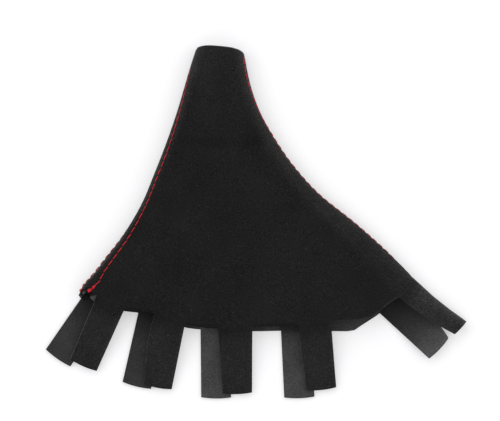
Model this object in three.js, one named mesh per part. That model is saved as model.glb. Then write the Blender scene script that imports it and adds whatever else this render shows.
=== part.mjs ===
// A gear lever gaiter, laid on its side as it is packed. Two mirrored suede side panels are sewn
// edge to edge into a flared tube, open at the neck and at the base, and each panel ends in five
// tabs that are glued round the frame in the console. Along both seams the allowances are folded
// back inside, and a row of contrast topstitching holds each of them down.
//
// Millimetres. +X runs across the base from the steep seam to the long one, +Y to the neck, +Z up.
// The origin is in the middle of the gaiter's outline, on the surface that it lies on.
import * as THREE from "three";

// Cloth and seams
const clothThickness = 1.0;
const layerGap = 0.15; // between a panel and its own folded allowance
const seamGap = 0.3; // between the folded edges of the two panels
const seamAllowance = 6.5;
const topstitchOffset = 3.2; // from the seam to each row

// Thread
const threadDiameter = 0.8;
const stitchPitch = 5.15;
const stitchShare = 0.76; // of the pitch, the rest is the dip at the needle hole
const threadClearance = 0.1; // from the cloth below it
const rowInset = 2.2; // from the rim and the hem to a row's ends
const tackWidth = 2.0; // of the back-tack that ends a row at the hem
const closingThreadDiameter = 0.5;
const closingClearance = 0.3; // from the folded allowances above it

// The tube's outline from above. Each side runs out from the neck by its flare, and the shares
// say how much of it is reached at equal steps down the side.
const neckWidth = 31.9;
const steepDrop = 158.2;
const steepFlare = 75.1;
const steepShares = [0, 0.08, 0.158, 0.249, 0.352, 0.463, 0.62, 0.818, 1];
const longDrop = 143.9;
const longFlare = 109.6;
const longShares = [0, 0.034, 0.091, 0.182, 0.297, 0.448, 0.652, 0.837, 1];
const rimSlope = 2.9; // how far the long side starts below the steep one
const rimBulge = 5.3; // of the rim's middle past its ends

// How far the hem hangs below the line between the two seam ends: share across, then depth
const upperHem = [
  [0, 0], [0.02, -2.2], [0.032, -0.5], [0.046, 4.4], [0.134, 11], [0.23, 14.1], [0.318, 22.2],
  [0.417, 26.3], [0.52, 26.1], [0.658, 26.8], [0.754, 24.6], [0.856, 24.8], [0.898, 19.4],
  [0.958, 12.3], [1, 0],
];
const lowerHem = [
  [0, 0], [0.007, 2.2], [0.135, 11.9], [0.176, 13.3], [0.316, 24.4], [0.363, 26.3],
  [0.519, 29.3], [0.604, 30], [0.756, 31.9], [0.817, 32.6], [0.898, 21.9], [0.958, 8.5], [1, 0],
];

// Heights and fold widths of the flattened tube at the rim, half way down and at the hem
const steepHeights = [12, 10.5, 9.5];
const longHeights = [12, 12, 10.5];
const roofDips = [-1.5, 0.8, 1.5]; // of the upper layer between the folds, negative for a crown
const steepFolds = [8, 5.5, 5];
const longFolds = [8, 12, 13];
const longUnderFolds = [8, 13, 24]; // the long fold's underside

// Where each seam lies as [share down it, place], measured round the cloth from the outermost
// line of its fold: positive on the upper layer, negative beneath
const steepSeamShifts = [
  [0, -3], [0.09, -0.8], [0.2, 0.4], [0.4, 2.1], [0.6, 2.9], [0.8, 3.8], [0.93, 5.3], [1, 5.6],
];
const longSeamShifts = [
  [0, 0.5], [0.1, 0.2], [0.2, -1.2], [0.3, -2.7], [0.8, -3], [0.92, -4], [1, -7.6],
];

// Tabs: starts along the hem from the steep seam, and the last one's distance from the long seam
const upperTabStarts = [8.8, 49.8, 92.7, 144.8];
const lowerTabStarts = [9.6, 48, 90.5, 142.4];
const lastTabInset = 5.3;
const tabRootWidth = 21;
const tabEndWidth = 19;
const tabLengths = [42.6, 45, 43.4, 43.4, 43.6];
const tabEndBulge = 0.8; // of a tab's rounded end past its corners
const tabGap = 0.4; // between an upper tab's end and the lower tab that it lies on
const upperTabLeans = [-23.8, -10.4, 2.1, 6, 50.7]; // degrees from straight down, seen from above
const lowerTabLeans = [-34.3, -13.9, -0.4, 1.7, 46.5];
const lowerTabLifts = [0.6, 0.4, 0.3, 0.3, 3.2]; // of each lower tab's end from the surface
const lastTabUnderfold = 3.7; // of the last upper tab's far edge, tucked under at its end
const lastTabFold = 5; // that fold's width at the tab's end
const lastTabHeight = 6;

// Mesh steps
const bodySteps = 20;
const tabSteps = 5;
const foldSteps = 12;
const flatSteps = 24;
const threadSides = 4;

const suede = new THREE.MeshStandardMaterial({ name: "black_suede", color: 0x1f1e1e, roughness: 0.95 });
const redThread = new THREE.MeshStandardMaterial({ name: "red_thread", color: 0xb8232c, roughness: 0.55 });
const blackThread = new THREE.MeshStandardMaterial({ name: "black_thread", color: 0x161616, roughness: 0.6 });

// A smooth value at share s along a list given at equal steps.
function alongList(values, s) {
  const last = values.length - 1;
  const curve = new THREE.SplineCurve(values.map((value, k) => new THREE.Vector2(k / last, value)));
  return curve.getPoint(THREE.MathUtils.clamp(s, 0, 1)).y;
}

// A smooth value at x through [x, value] pairs, flat past the ends.
function throughPairs(pairs, x) {
  const last = pairs.length - 1;
  const k = Math.min(last - 1, Math.max(0, pairs.findIndex((pair) => pair[0] > x) - 1));
  const here = pairs.some((pair) => pair[0] > x) ? k : last - 1;
  const slope = (i) => {
    const before = pairs[Math.max(0, i - 1)];
    const after = pairs[Math.min(last, i + 1)];
    return (after[1] - before[1]) / (after[0] - before[0]);
  };
  const width = pairs[here + 1][0] - pairs[here][0];
  const t = THREE.MathUtils.clamp((x - pairs[here][0]) / width, 0, 1);
  const ease = t * t * (3 - 2 * t);
  return (
    pairs[here][1] * (1 - ease) +
    pairs[here + 1][1] * ease +
    slope(here) * width * t * (1 - t) ** 2 -
    slope(here + 1) * width * t * t * (1 - t)
  );
}

function sideCurve(startX, startY, drop, flare, shares) {
  const last = shares.length - 1;
  const points = shares.map(
    (share, k) => new THREE.Vector2(startX + flare * share, startY - (drop * k) / last),
  );
  return new THREE.SplineCurve(points);
}

const steepSide = sideCurve(-neckWidth / 2, 0, steepDrop, -steepFlare, steepShares);
const longSide = sideCurve(neckWidth / 2, -rimSlope, longDrop, longFlare, longShares);

// How far a row is moved along Y at a share across, for the layer with that hem.
function rowShift(hem, s, across) {
  const bulge = rimBulge * (1 - Math.abs(2 * across - 1) ** 3) ** 0.45;
  return bulge * (1 - s) ** 6 - throughPairs(hem, across) * s ** 1.6;
}

// Steps across a layer as { distance, rise }: rise is 0 on the folds' outermost lines and 1
// between the folds.
function acrossSteps(width, steepFold, longFold) {
  const steps = [];
  for (let k = 0; k < foldSteps; k++) {
    const turn = (Math.PI / 2) * (k / foldSteps);
    steps.push({ distance: steepFold * (1 - Math.cos(turn)), rise: Math.sin(turn) });
  }
  for (let k = 0; k <= flatSteps; k++) {
    const flat = width - steepFold - longFold;
    steps.push({ distance: steepFold + (flat * k) / flatSteps, rise: 1 });
  }
  for (let k = foldSteps - 1; k >= 0; k--) {
    const turn = (Math.PI / 2) * (k / foldSteps);
    steps.push({ distance: width - longFold * (1 - Math.cos(turn)), rise: Math.sin(turn) });
  }
  return steps;
}

// The tube's outer surface at share s down the seams, as a loop that starts on the steep fold,
// runs over the top to the long fold and comes back beneath. It is read by distance along it.
function rowLoop(s) {
  const start = steepSide.getPointAt(s);
  const end = longSide.getPointAt(s);
  const steepHeight = alongList(steepHeights, s);
  const longHeight = alongList(longHeights, s);
  const dip = alongList(roofDips, s);
  const width = start.distanceTo(end);
  const overSteps = acrossSteps(width, alongList(steepFolds, s), alongList(longFolds, s));
  const underSteps = acrossSteps(width, alongList(steepFolds, s), alongList(longUnderFolds, s));
  const place = (step, hem, upper) => {
    const across = step.distance / width;
    const height = THREE.MathUtils.lerp(steepHeight, longHeight, across);
    const roof = height - dip * Math.sin(Math.PI * across) ** 2;
    const middle = height / 2;
    const z = upper ? middle + (roof - middle) * step.rise : middle * (1 - step.rise);
    const plan = start.clone().lerp(end, across);
    return new THREE.Vector3(plan.x, plan.y + rowShift(hem, s, across), z);
  };
  const over = overSteps.map((step) => place(step, upperHem, true));
  const under = underSteps.map((step) => place(step, lowerHem, false)).reverse();
  const points = [...over, ...under.slice(1)];
  const lengths = [0];
  for (let k = 1; k < points.length; k++) {
    lengths.push(lengths[k - 1] + points[k].distanceTo(points[k - 1]));
  }
  const total = lengths[lengths.length - 1];
  const at = (distance) => {
    const wrapped = ((distance % total) + total) % total;
    let k = 1;
    while (k < lengths.length - 1 && lengths[k] < wrapped) k++;
    const t = (wrapped - lengths[k - 1]) / (lengths[k] - lengths[k - 1]);
    return points[k - 1].clone().lerp(points[k], t);
  };
  const steepSeam = throughPairs(steepSeamShifts, s);
  const longSeam = lengths[over.length - 1] - throughPairs(longSeamShifts, s);
  return { at, total, steepSeam, longSeam };
}

// One panel of the tube, read by its distance x from the steep seam and the share s down it.
function panelSurface(upper) {
  const loops = new Map();
  const loopAt = (s) => {
    if (!loops.has(s)) loops.set(s, rowLoop(s));
    return loops.get(s);
  };
  const span = (s) => {
    const loop = loopAt(s);
    const over = loop.longSeam - loop.steepSeam;
    return upper ? over : loop.total - over;
  };
  const point = (x, s) => {
    const loop = loopAt(s);
    return loop.at(loop.steepSeam + (upper ? x : -x));
  };
  const nudge = 0.004;
  const normal = (x, s, share) => {
    const before = Math.max(0, s - nudge);
    const after = Math.min(1, s + nudge);
    const reach = 0.3;
    const rightwards = point(x + reach, s).sub(point(x - reach, s));
    // x is kept at its share of the span, so that the step along s doesn't drift sideways
    const downwards = point(share * span(after), after).sub(point(share * span(before), before));
    const across = new THREE.Vector3().crossVectors(downwards, rightwards).normalize();
    return upper ? across : across.negate();
  };
  // How much longer a distance square to a seam is when it is measured along the row
  const slant = (s, atSteepSeam) => {
    const before = Math.max(0, s - nudge);
    const after = Math.min(1, s + nudge);
    const x = (share) => (atSteepSeam ? 0 : span(share));
    const seam = point(x(after), after).sub(point(x(before), before)).normalize();
    const inwards = atSteepSeam ? 1 : -1;
    const row = point(x(s) + inwards, s).sub(point(x(s), s)).normalize();
    return 1 / new THREE.Vector3().crossVectors(seam, row).length();
  };
  return { upper, span, point, normal, slant };
}

// Stations across a folded edge, from the allowance's raw end to the panel: distance from the
// seam and depth below the outer surface, for the cloth's suede face and for its back.
function foldedEdge() {
  const inner = 2 * clothThickness + layerGap;
  const middle = inner / 2;
  const turnX = seamGap / 2 + middle;
  const corner = middle * Math.SQRT1_2;
  const slit = clothThickness + layerGap;
  const slitEnd = seamGap / 2 + clothThickness;
  return [
    { face: [seamAllowance, inner], back: [seamAllowance, slit] },
    { face: [topstitchOffset, inner], back: [topstitchOffset, slit] },
    { face: [turnX, inner], back: [turnX + layerGap, slit] },
    { face: [turnX - corner, middle + corner], back: [turnX + layerGap / 2, slit] },
    { face: [seamGap / 2, middle], back: [slitEnd, middle] },
    { face: [turnX - corner, middle - corner], back: [turnX + layerGap / 2, clothThickness] },
    { face: [turnX, 0], back: [turnX + layerGap, clothThickness] },
    { face: [topstitchOffset, 0], back: [topstitchOffset, clothThickness] },
  ];
}

const topstitchStation = foldedEdge().length - 1;

// Distances along the hem from the steep seam to the tabs' edges.
function tabEdges(surface) {
  const lastStart = surface.span(1) - lastTabInset - tabRootWidth;
  const starts = surface.upper ? upperTabStarts : lowerTabStarts;
  return [...starts, lastStart].map((start) => [start, start + tabRootWidth]);
}

// The panel's stations across, each a function from s to { face: [x, depth], back: [x, depth] },
// and the stations where each tab starts and ends.
function panelStations(surface) {
  const edge = foldedEdge();
  const nearSeam = topstitchOffset;
  const hemSpan = surface.span(1);
  const edges = tabEdges(surface);
  const fixed = (part, atSteepSeam) => (s) => {
    const along = (x) => {
      const slanted = x * surface.slant(s, atSteepSeam);
      return atSteepSeam ? slanted : surface.span(s) - slanted;
    };
    return {
      face: [along(part.face[0]), part.face[1]],
      back: [along(part.back[0]), part.back[1]],
    };
  };
  const first = nearSeam * surface.slant(1, true);
  const last = hemSpan - nearSeam * surface.slant(1, false);
  const shared = (hemX) => (s) => {
    const from = nearSeam * surface.slant(s, true);
    const to = surface.span(s) - nearSeam * surface.slant(s, false);
    const x = THREE.MathUtils.mapLinear(hemX, first, last, from, to);
    return { face: [x, 0], back: [x, clothThickness] };
  };
  const hemXs = [seamAllowance];
  const tabs = [];
  edges.forEach(([start, end], k) => {
    const previous = hemXs[hemXs.length - 1];
    const between = k === 0 ? 0 : k === edges.length - 1 ? 3 : 1;
    for (let n = 1; n <= between; n++) hemXs.push(previous + ((start - previous) * n) / (between + 1));
    const inside = k === edges.length - 1 ? 4 : 2;
    tabs.push({ first: hemXs.length, last: hemXs.length + inside });
    for (let n = 0; n <= inside; n++) hemXs.push(start + ((end - start) * n) / inside);
  });
  const stations = [
    ...edge.map((part) => fixed(part, true)),
    ...hemXs.map(shared),
    ...[...edge].reverse().map((part) => fixed(part, false)),
  ];
  for (const tab of tabs) {
    tab.first += edge.length;
    tab.last += edge.length;
  }
  return { stations, tabs };
}

// The cloth at one station and row: its face, its back and the outward normal.
function clothPoint(surface, station, s) {
  const { face, back } = station(s);
  const span = surface.span(s);
  const place = ([x, depth]) => {
    const normal = surface.normal(x, s, x / span);
    return { point: surface.point(x, s).addScaledVector(normal, -depth), normal };
  };
  const outer = place(face);
  return { face: outer.point, back: place(back).point, normal: outer.normal };
}

// Distance along a fold's quarter ellipse, turned into a place: inwards from the fold's
// outermost line and up. Positive distances run over the top, negative ones beneath.
function foldPlace(distance, width, height) {
  const steps = 24;
  const side = Math.sign(distance) || 1;
  let left = Math.abs(distance);
  let [x, rise] = [0, 0];
  for (let k = 1; k <= steps; k++) {
    const turn = (Math.PI / 2) * (k / steps);
    const next = [width * (1 - Math.cos(turn)), (height / 2) * Math.sin(turn)];
    const length = Math.hypot(next[0] - x, next[1] - rise);
    if (length >= left) {
      const t = left / length;
      return [x + (next[0] - x) * t, height / 2 + side * (rise + (next[1] - rise) * t)];
    }
    left -= length;
    [x, rise] = next;
  }
  return [x + left, height / 2 + side * rise];
}

const easeDown = (t) => t * t * (3 - 2 * t);
const endBulge = (across) => tabEndBulge * (1 - (2 * across - 1) ** 2);

// The suede face of a tab at share across and share along, for a tab that leans by an angle.
function leaningTab(root, lean, length, endHeight) {
  const angle = THREE.MathUtils.degToRad(lean);
  const along = new THREE.Vector3(Math.sin(angle), -Math.cos(angle), 0);
  const sideways = new THREE.Vector3(-along.y, along.x, 0);
  const rootMiddle = root(0.5);
  return (across, share) => {
    const end = rootMiddle
      .clone()
      .addScaledVector(along, length + endBulge(across))
      .addScaledVector(sideways, tabEndWidth * (across - 0.5));
    const start = root(across);
    const point = start.clone().lerp(end, share);
    point.z = THREE.MathUtils.lerp(start.z, endHeight, easeDown(share));
    return point;
  };
}

// The last upper tab carries the long fold on: its far edge is tucked under towards its end.
function foldedTab(root, length, rootDistances) {
  const angle = THREE.MathUtils.degToRad(upperTabLeans[upperTabLeans.length - 1]);
  const along = new THREE.Vector3(Math.sin(angle), -Math.cos(angle), 0);
  const inwards = new THREE.Vector3(along.y, -along.x, 0);
  const foldEnd = longSide.getPointAt(1);
  return (across, share) => {
    const rootDistance = THREE.MathUtils.lerp(rootDistances[0], rootDistances[1], across);
    const distance = rootDistance - lastTabUnderfold * share - (tabRootWidth - tabEndWidth) * share * (1 - across);
    const width = THREE.MathUtils.lerp(longFolds[2], lastTabFold, share);
    const height = THREE.MathUtils.lerp(longHeights[2], lastTabHeight, share);
    const [inset, z] = foldPlace(distance, width, height);
    const carried = new THREE.Vector3(foldEnd.x, foldEnd.y, z)
      .addScaledVector(along, (length + endBulge(across)) * share)
      .addScaledVector(inwards, inset);
    const start = root(across);
    const rootOnFold = foldPlace(rootDistance, longFolds[2], longHeights[2]);
    const straightRoot = new THREE.Vector3(foldEnd.x, foldEnd.y, rootOnFold[1]).addScaledVector(inwards, rootOnFold[0]);
    return carried.add(start.sub(straightRoot).multiplyScalar(1 - easeDown(share)));
  };
}

// A tab's rows of cloth points, from just below its root to its end.
function tabRows(surface, rootRow, faceAt) {
  const width = rootRow.length - 1;
  const rows = [];
  for (let i = 1; i <= tabSteps; i++) {
    const share = i / tabSteps;
    rows.push(
      rootRow.map((_, j) => {
        const across = j / width;
        const nudge = 0.02;
        const rightwards = faceAt(across + nudge, share).sub(faceAt(across - nudge, share));
        const downwards = faceAt(across, share + nudge).sub(faceAt(across, share - nudge));
        const normal = new THREE.Vector3().crossVectors(downwards, rightwards).normalize();
        if (!surface.upper) normal.negate();
        const face = faceAt(across, share);
        return { face, back: face.clone().addScaledVector(normal, -clothThickness), normal };
      }),
    );
  }
  return rows;
}

// A closed geometry of the sheet: body rows, tabs that hang from the last row, and the cut edge
// that runs round them all.
function sheetGeometry(rows, tabs, faceUp) {
  const positions = [];
  const corner = (point) => positions.push(point.x, point.y, point.z);
  const quad = (a, b, c, d) => {
    const order = faceUp ? [a, b, c, a, c, d] : [a, c, b, a, d, c];
    order.forEach(corner);
  };
  const patch = (grid) => {
    for (let i = 0; i + 1 < grid.length; i++) {
      for (let j = 0; j + 1 < grid[i].length; j++) {
        const cell = [grid[i][j], grid[i + 1][j], grid[i + 1][j + 1], grid[i][j + 1]];
        quad(...cell.map((station) => station.face));
        quad(cell[1].back, cell[0].back, cell[3].back, cell[2].back);
      }
    }
  };
  const hem = rows[rows.length - 1];
  const boundary = rows.map((row) => row[0]);
  let reached = 1;
  for (const tab of tabs) {
    boundary.push(...hem.slice(reached, tab.first + 1));
    boundary.push(...tab.rows.map((row) => row[0]));
    boundary.push(...tab.rows[tab.rows.length - 1].slice(1));
    boundary.push(...tab.rows.slice(0, -1).reverse().map((row) => row[row.length - 1]));
    boundary.push(hem[tab.last]);
    reached = tab.last + 1;
    patch([hem.slice(tab.first, tab.last + 1), ...tab.rows]);
  }
  boundary.push(...hem.slice(reached));
  boundary.push(...rows.slice(0, -1).reverse().map((row) => row[row.length - 1]));
  boundary.push(...rows[0].slice(1, -1).reverse());
  patch(rows);
  boundary.forEach((station, k) => {
    const next = boundary[(k + 1) % boundary.length];
    quad(next.face, station.face, station.back, next.back);
  });
  const geometry = new THREE.BufferGeometry();
  geometry.setAttribute("position", new THREE.Float32BufferAttribute(positions, 3));
  geometry.computeVertexNormals();
  return geometry;
}

function panel(upper) {
  const surface = panelSurface(upper);
  const { stations, tabs } = panelStations(surface);
  const rows = [];
  for (let i = 0; i <= bodySteps; i++) {
    rows.push(stations.map((station) => clothPoint(surface, station, i / bodySteps)));
  }
  const hem = rows[bodySteps];
  const edges = tabEdges(surface);
  tabs.forEach((tab, k) => {
    const [start, end] = edges[k];
    const root = (across) => surface.point(THREE.MathUtils.lerp(start, end, across), 1);
    const rootRow = hem.slice(tab.first, tab.last + 1);
    const isLast = k === tabs.length - 1;
    const toFold = surface.span(1) + throughPairs(longSeamShifts, 1);
    const faceAt =
      upper && isLast
        ? foldedTab(root, tabLengths[k], [toFold - start, toFold - end])
        : leaningTab(
            root,
            (upper ? upperTabLeans : lowerTabLeans)[k],
            tabLengths[k],
            upper ? 2 * clothThickness + tabGap + lowerTabLifts[k] : lowerTabLifts[k],
          );
    tab.rows = tabRows(surface, rootRow, faceAt);
  });
  return { rows, geometry: sheetGeometry(rows, tabs, upper) };
}

// A chain of rings round a line of points, closed at both ends.
function chainGeometry(links) {
  const positions = [];
  const corner = (point) => positions.push(point.x, point.y, point.z);
  const rings = links.map(({ centre, along, up, radius }) => {
    const side = new THREE.Vector3().crossVectors(along, up).normalize();
    return Array.from({ length: threadSides }, (_, k) => {
      const turn = (2 * Math.PI * (k + 0.5)) / threadSides;
      return centre
        .clone()
        .addScaledVector(side, radius * Math.cos(turn))
        .addScaledVector(up, radius * Math.sin(turn));
    });
  });
  for (let i = 0; i + 1 < rings.length; i++) {
    for (let k = 0; k < threadSides; k++) {
      const n = (k + 1) % threadSides;
      [rings[i][k], rings[i + 1][k], rings[i + 1][n]].forEach(corner);
      [rings[i][k], rings[i + 1][n], rings[i][n]].forEach(corner);
    }
  }
  const cap = (ring) => {
    for (let k = 1; k + 1 < threadSides; k++) [ring[0], ring[k], ring[k + 1]].forEach(corner);
  };
  cap(rings[0]);
  cap([...rings[rings.length - 1]].reverse());
  const geometry = new THREE.BufferGeometry();
  geometry.setAttribute("position", new THREE.Float32BufferAttribute(positions, 3));
  geometry.computeVertexNormals();
  return geometry;
}

// A line down a panel's rows, read by distance: { point, normal, along }.
function lineDown(rows, pointOf) {
  const points = rows.map(pointOf);
  const lengths = [0];
  for (let k = 1; k < points.length; k++) {
    lengths.push(lengths[k - 1] + points[k].point.distanceTo(points[k - 1].point));
  }
  const total = lengths[lengths.length - 1];
  const at = (distance) => {
    let k = 1;
    while (k < lengths.length - 1 && lengths[k] < distance) k++;
    const t = (distance - lengths[k - 1]) / (lengths[k] - lengths[k - 1]);
    const along = points[k].point.clone().sub(points[k - 1].point).normalize();
    const up = points[k - 1].normal.clone().lerp(points[k].normal, t);
    up.addScaledVector(along, -up.dot(along)).normalize();
    return { point: points[k - 1].point.clone().lerp(points[k].point, t), along, up };
  };
  return { at, total };
}

// One row of topstitching: stitches that lie on the cloth, joined by thin dips at the needle
// holes, and a thick back-tack at the hem.
function topstitchGeometry(rows, column) {
  const line = lineDown(rows, (row) => ({ point: row[column].face, normal: row[column].normal }));
  const usable = line.total - 2 * rowInset;
  const count = Math.round(usable / stitchPitch);
  const pitch = usable / count;
  const links = [];
  const add = (distance, radius) => {
    const { point, along, up } = line.at(distance);
    // a square ring's flat side, not its corner, faces the cloth
    const standing = radius * Math.SQRT1_2 + threadClearance;
    links.push({ centre: point.addScaledVector(up, standing), along, up, radius });
  };
  const full = threadDiameter / 2;
  const thin = full / 2;
  const rest = (1 - stitchShare) / 2;
  add(rowInset, thin);
  for (let k = 0; k < count; k++) {
    const start = rowInset + k * pitch;
    const thick = k === count - 1 ? tackWidth / 2 : full;
    add(start + rest * pitch, thick);
    add(start + (1 - rest) * pitch, thick);
    add(start + pitch, thin);
  }
  return chainGeometry(links);
}

// The hidden seam that closes the tube: a thread beneath the groove between the two folded edges.
// Its points share the panels' rows, so that it keeps its clearance, and it ends a row short of
// the rim and the hem.
function closingGeometry(surface, atSteepSeam) {
  const radius = closingThreadDiameter / 2;
  const depth = 2 * clothThickness + layerGap + closingClearance + radius;
  const rows = [];
  for (let i = 1; i < bodySteps; i++) {
    const s = i / bodySteps;
    const x = atSteepSeam ? 0 : surface.span(s);
    const normal = surface.normal(x, s, atSteepSeam ? 0 : 1);
    rows.push({ point: surface.point(x, s).addScaledVector(normal, -depth), normal });
  }
  const links = rows.map(({ point, normal }, i) => {
    const before = rows[Math.max(0, i - 1)].point;
    const after = rows[Math.min(rows.length - 1, i + 1)].point;
    const along = after.clone().sub(before).normalize();
    const up = normal.clone().addScaledVector(along, -normal.dot(along)).normalize();
    return { centre: point, along, up, radius };
  });
  return chainGeometry(links);
}

const gaiter = new THREE.Group();
gaiter.name = "gear_lever_gaiter";

function add(name, geometry, material) {
  const mesh = new THREE.Mesh(geometry, material);
  mesh.name = name;
  gaiter.add(mesh);
}

for (const [place, upper] of [["upper", true], ["lower", false]]) {
  const { rows, geometry } = panel(upper);
  const lastStation = rows[0].length - 1;
  add(`${place}_side_panel`, geometry, suede);
  add(`steep_seam_${place}_topstitch`, topstitchGeometry(rows, topstitchStation), redThread);
  add(`long_seam_${place}_topstitch`, topstitchGeometry(rows, lastStation - topstitchStation), redThread);
}
const closingSurface = panelSurface(true);
add("steep_seam_closing_thread", closingGeometry(closingSurface, true), blackThread);
add("long_seam_closing_thread", closingGeometry(closingSurface, false), blackThread);

const outline = new THREE.Box3().setFromObject(gaiter);
const middle = outline.getCenter(new THREE.Vector3());
gaiter.position.set(-middle.x, -middle.y, -outline.min.z);

export default gaiter;
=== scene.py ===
# %% [markdown]
# # A gear lever gaiter, laid on its side
#
# The gaiter is a flared tube of black microfibre suede. Two mirrored panels are sewn together edge
# to edge, and red topstitching holds the seam allowances down inside. Here it lies flat, as it is
# packed, with the glue tabs of both panels spread out below the hem.
#
# The script builds the cloth, the thread and the light in Blender round the CAD model of the same
# gaiter, so each piece is where the CAD says. Lengths are written in millimetres, as a pattern
# cutter would give them, and turned to Blender's metres when a mesh is made.

import functools
import math
import random

import bmesh
import bpy
import numpy as np
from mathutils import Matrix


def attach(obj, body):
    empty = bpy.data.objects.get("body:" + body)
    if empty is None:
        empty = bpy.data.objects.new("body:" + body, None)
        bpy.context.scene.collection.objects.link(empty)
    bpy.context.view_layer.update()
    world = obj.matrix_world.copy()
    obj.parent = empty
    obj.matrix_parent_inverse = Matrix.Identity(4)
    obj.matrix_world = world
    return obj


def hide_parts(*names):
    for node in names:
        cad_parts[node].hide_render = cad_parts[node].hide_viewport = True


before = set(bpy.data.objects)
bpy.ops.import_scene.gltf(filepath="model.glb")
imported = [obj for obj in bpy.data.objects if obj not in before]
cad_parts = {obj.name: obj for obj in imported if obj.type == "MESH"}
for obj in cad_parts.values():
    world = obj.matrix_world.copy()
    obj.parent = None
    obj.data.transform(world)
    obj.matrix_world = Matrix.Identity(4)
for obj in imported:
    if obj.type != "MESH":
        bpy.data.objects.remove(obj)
scene = bpy.context.scene
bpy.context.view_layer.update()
MM = 0.001

# %% [markdown]
# ## The camera first
#
# The gaiter was photographed from straight above. A long lens from 3 m away keeps the high and low
# layers of cloth at the same scale, as the picture's flat look asks.

# %% Camera
VIEW_MIDDLE = (-4.05, 7.5)  # mm, under the middle of the picture
VIEW_WIDTH = 325.0  # mm across the picture
CAMERA_HEIGHT = 3000.0

camera_data = bpy.data.cameras.new("camera")
camera_data.lens = camera_data.sensor_width * CAMERA_HEIGHT / VIEW_WIDTH
camera_data.clip_end = 20.0
camera = bpy.data.objects.new("camera", camera_data)
camera.location = (VIEW_MIDDLE[0] * MM, VIEW_MIDDLE[1] * MM, CAMERA_HEIGHT * MM)
scene.collection.objects.link(camera)
scene.camera = camera
print(f"camera {CAMERA_HEIGHT / 1000:.1f} m up with a lens of {camera_data.lens:.0f} mm")

# %% [markdown]
# ## The pattern's measures
#
# These are the sizes of the sewn tube: how it is cut, how its sides flare, and how thick it lies.
# Its outline is drawn from the middle of the neck, and NECK_MIDDLE says where that is.

# %% Measures
NECK_MIDDLE = (-23.6615, 110.6206)

CLOTH = 1.0
LAYER_GAP = 0.15
SEAM_GAP = 0.3
ALLOWANCE = 6.5
TOPSTITCH_OFFSET = 3.2
STITCH_PITCH = 5.15
ROW_INSET, LONG_ROW_INSET = 2.2, 3.9
UPPER_HEM_INSET, LOWER_HEM_INSET = 1.3, 3.2
UPPER_ROW_STRAY = [(0, 0), (0.93, 0), (0.965, 0.3), (1, 1.0)]
LOWER_ROW_STRAY = [(0, 0), (0.68, 0), (0.8, 0.9), (0.9, 0.4), (0.925, 0), (0.955, -0.3), (1, 0.3)]

NECK_WIDTH = 31.9
RIM_SLOPE = 2.9
RIM_BULGE = 5.3
STEEP_DROP, STEEP_FLARE = 158.2, 75.1
LONG_DROP, LONG_FLARE = 143.9, 109.6
STEEP_SHARES = [0, 0.08, 0.158, 0.249, 0.352, 0.463, 0.62, 0.818, 1]
LONG_SHARES = [0, 0.034, 0.091, 0.182, 0.297, 0.448, 0.652, 0.837, 1]

UPPER_HEM = [
    (0, 0), (0.02, -3), (0.032, -1.8), (0.05, 3.6), (0.134, 11), (0.23, 14.1), (0.318, 22.2),
    (0.417, 26.3), (0.52, 26.1), (0.658, 26.8), (0.754, 24.6), (0.861, 24.6), (0.879, 23.4),
    (0.9, 20.2), (0.929, 15.3), (0.954, 12.3), (0.966, 11.4), (1, 0),
]
LOWER_HEM = [
    (0, 0), (0.007, 2.2), (0.135, 11.9), (0.176, 13.3), (0.316, 24.4), (0.363, 26.3),
    (0.519, 29.3), (0.604, 30), (0.756, 31.9), (0.8, 32.5), (0.818, 32.8), (0.823, 32.3),
    (0.848, 28.9), (0.877, 25.2), (0.9, 21.9), (0.958, 8.5), (1, 0),
]
STEEP_SWELL = 1.75  # how far the steep side swells out just above the hem
SWELL_PLACE, SWELL_REACH = 0.955, 0.043  # shares down the side
RIM_FADE, HEM_FADE = 6, 1.6  # how fast the rim's bulge and the hem's depth fade along the tube
STEEP_HEIGHTS, LONG_HEIGHTS, ROOF_DIPS = [12, 10.5, 9.5], [12, 12, 10.5], [-1.5, 0.8, 1.5]
STEEP_FOLDS, LONG_FOLDS, LONG_UNDER_FOLDS = [8, 5.5, 5], [8, 12, 13], [8, 13, 24]
STEEP_SEAM_SHIFTS = [
    (0, -3), (0.09, -0.3), (0.2, 1), (0.33, 2), (0.4, 2.4), (0.5, 2.5), (0.6, 3), (0.7, 3.7),
    (0.8, 4.2), (0.86, 4.4), (0.9, 4.5), (0.93, 4.6), (0.97, 4.4), (1, 3.7),
]
LONG_SEAM_SHIFTS = [
    (0, 0.5), (0.1, 0.2), (0.2, -1.2), (0.3, -2.7), (0.8, -3), (0.92, -4), (1, -7.6),
]

# Each tab's start and end along the hem, lean in degrees, length, end width and sides' swell
UPPER_TABS = [
    (12.7, 32.7, -23.8, 42.8, 19.0, 0, 0),
    (52.9, 73.6, -10.4, 45.1, 18.6, 1.7, 0),
    (95.2, 117.6, 2.05, 42.6, 18.9, 0, 0),
    (147.5, 168.8, 6.0, 43.3, 19.2, 0, 0),
    (217.4, 236.2, 50.8, 44.0, 18.8, 0, 0),
]
LOWER_TABS = [
    (8.6, 29.6, -34.8, 43.3, 19.4, 0, 0),
    (47.5, 68.3, -13.9, 45.3, 19.0, 0, 0),
    (89.5, 110.5, -0.5, 43.7, 19.4, 0, 0),
    (141.8, 162.8, 1.85, 43.0, 19.6, 0, 0),
    (209.4, 229.0, 46.9, 43.8, 18.9, 0, 2.3),
]
TAB_END_BULGE = 0.8
TAB_GAP = 0.4
LOWER_TAB_LIFTS = [0.6, 0.4, 0.3, 0.3, 3.2]
LAST_TAB_UNDERFOLD, LAST_TAB_FOLD, LAST_TAB_HEIGHT = 3.7, 5, 6
LAST_TAB_SAG = 0.8
LAST_TAB_CURL, CURL_START = 2.5, 0.7  # how fast the last tab's near edge runs in, and from where
LAST_CORNER = 1.2  # rounding of the last lower tab's far corner

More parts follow.
